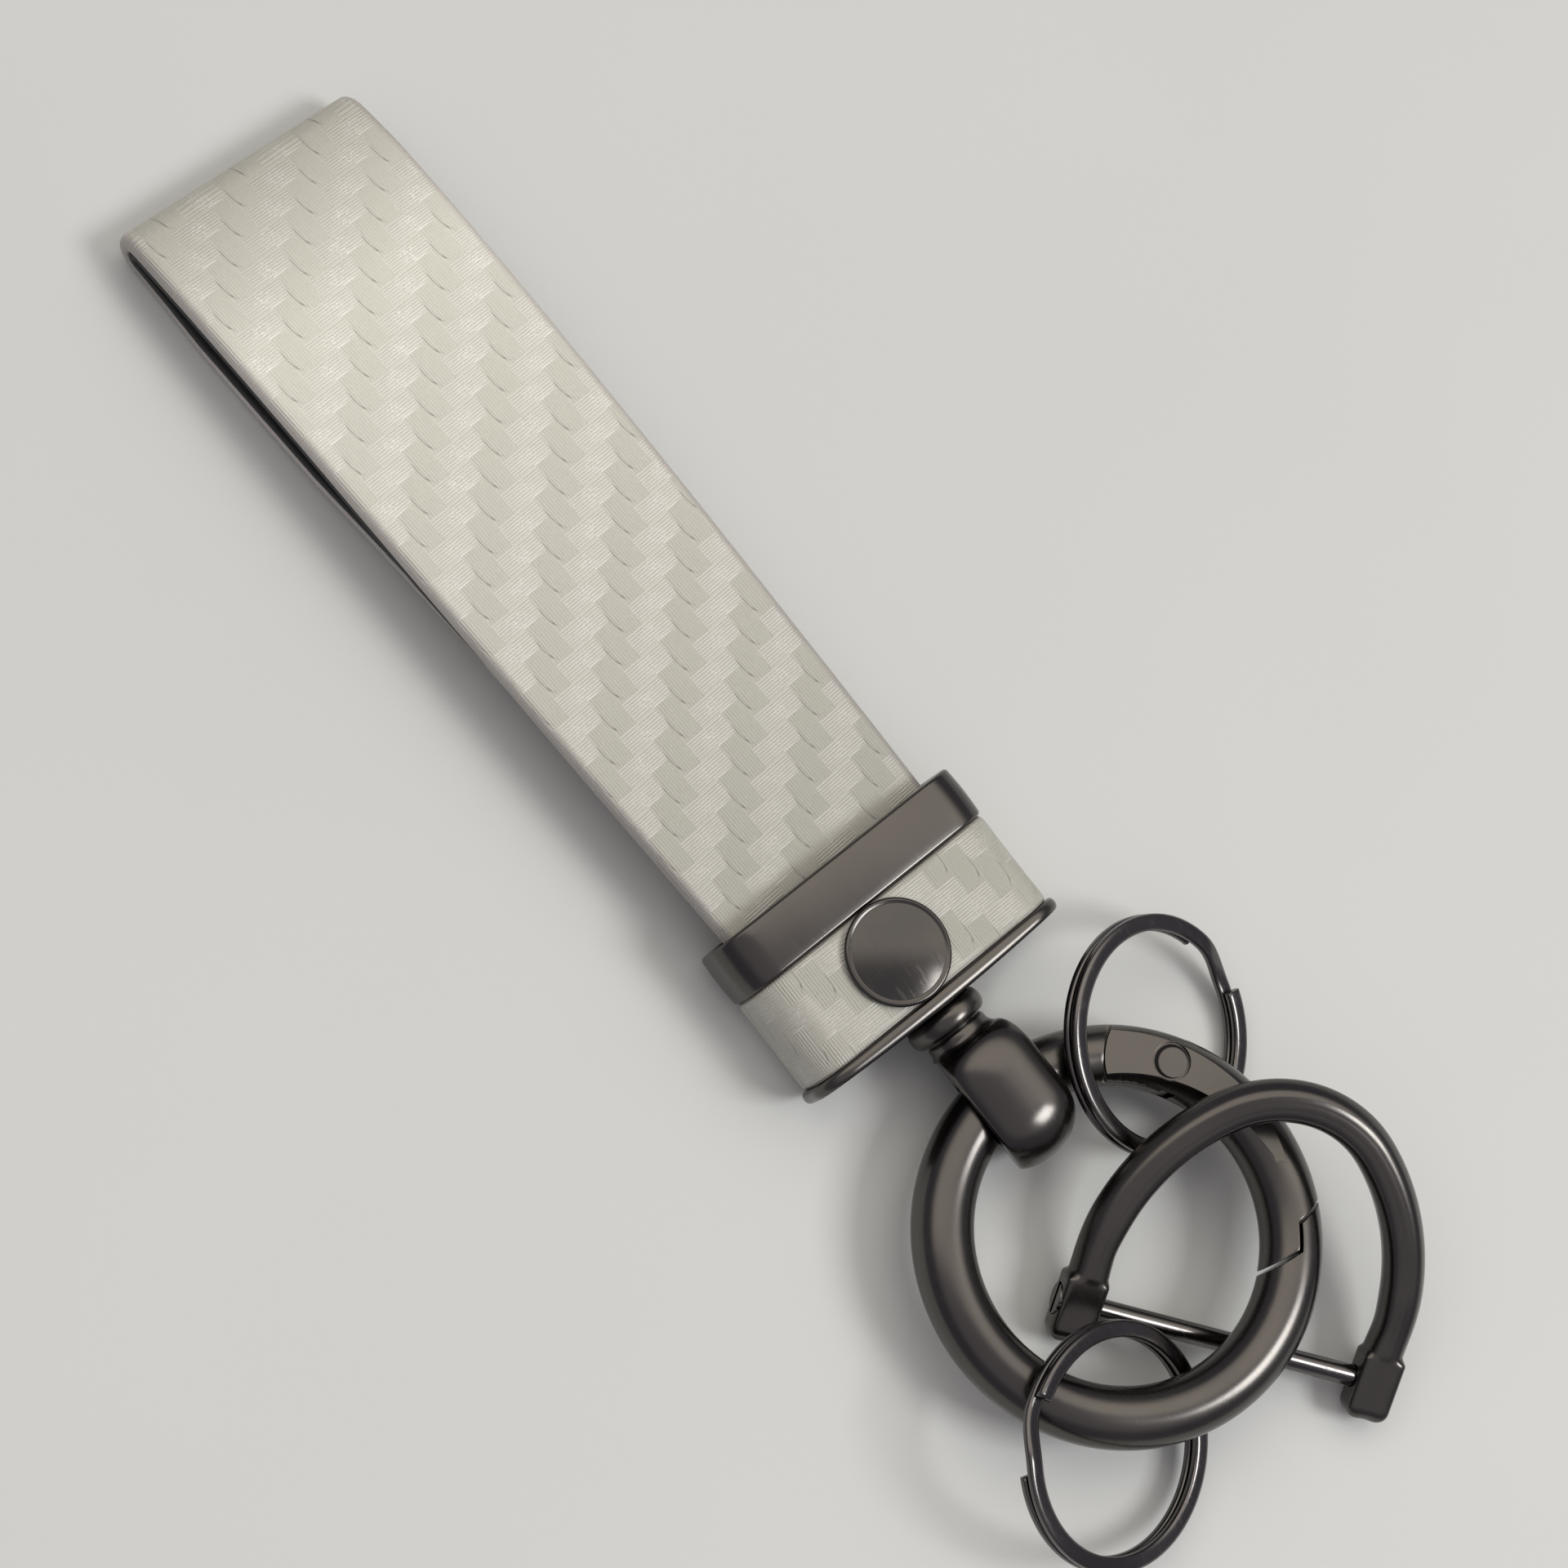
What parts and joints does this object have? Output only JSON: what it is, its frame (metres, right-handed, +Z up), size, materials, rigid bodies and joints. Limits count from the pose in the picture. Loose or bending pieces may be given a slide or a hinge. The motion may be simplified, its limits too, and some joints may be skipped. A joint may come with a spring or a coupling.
{
  "type": "leather loop key fob",
  "caption": "Leather loop key fob: a folded strap in a riveted metal fitting, with a swivel and a spring gate ring that carries split rings and a screw pin shackle for keys.",
  "frame": {"origin": "middle of the collar's flat underside, which rests on the table", "axes": "+Y along the strap towards its fold, +Z up from the table, +X to the side of the gate"},
  "size_m": [0.044, 0.1392, 0.0135],
  "materials": {
    "pearl_leather": "embossed twill, soft satin",
    "black_lining": "matt",
    "gunmetal": "polished dark plating",
    "dark_steel": "dark plated steel",
    "polished_steel": "polished dark plating"
  },
  "bodies": {
    "fitting": {"strap_shell": "pearl_leather", "strap_lining": "black_lining", "wrap_band": "pearl_leather", "collar": "gunmetal", "end_plate": "gunmetal", "rivet_front": "polished_steel", "rivet_back": "polished_steel"},
    "swivel": {"swivel_head": "gunmetal", "swivel_washer": "dark_steel"},
    "ring": {"ring_body": "gunmetal"},
    "gate": {"gate": "gunmetal", "gate_pin": "dark_steel", "gate_spring": "dark_steel"},
    "split_a": {"split_ring_a": "dark_steel"},
    "split_b": {"split_ring_b": "dark_steel"},
    "shackle": {"shackle_bow": "gunmetal"},
    "pin": {"shackle_pin": "dark_steel"}
  },
  "joints": [
    {"name": "swivel_spin", "type": "hinge", "parent": "fitting", "child": "swivel", "pos_m": [0, -0.01255, 0.0048], "axis": [0, 1, 0], "continuous": true},
    {"name": "ring_swing", "type": "hinge", "parent": "swivel", "child": "ring", "pos_m": [0, -0.02125, 0.0048], "axis": [-1, 0, 0], "range_deg": [-90, 90]},
    {"name": "gate_open", "type": "hinge", "parent": "ring", "child": "gate", "pos_m": [0.01224, -0.02788, 0.00524], "axis": [0, -0.0668, -0.9978], "range_deg": [0, 17], "stiffness_Nm_per_rad": 0.02, "springref_deg": -17.19},
    {"name": "split_a_swing", "type": "hinge", "parent": "ring", "child": "split_a", "pos_m": [0.01161, -0.02699, 0.00518], "axis": [-0.606, 0.7937, -0.0531], "range_deg": [-10, 0]},
    {"name": "split_b_swing", "type": "hinge", "parent": "ring", "child": "split_b", "pos_m": [-0.00977, -0.04664, 0.0065], "axis": [0.7431, -0.6676, 0.0447], "range_deg": [-14, 2]},
    {"name": "shackle_swing", "type": "hinge", "parent": "ring", "child": "shackle", "pos_m": [0.00254, -0.04867, 0.0029], "axis": [0.6074, -0.7944, 0], "range_deg": [0, 40]},
    {"name": "pin_withdraw", "type": "slide", "parent": "shackle", "child": "pin", "axis": [-0.6074, 0.7944, 0], "range_m": [0, 0.0055]}
  ]
}
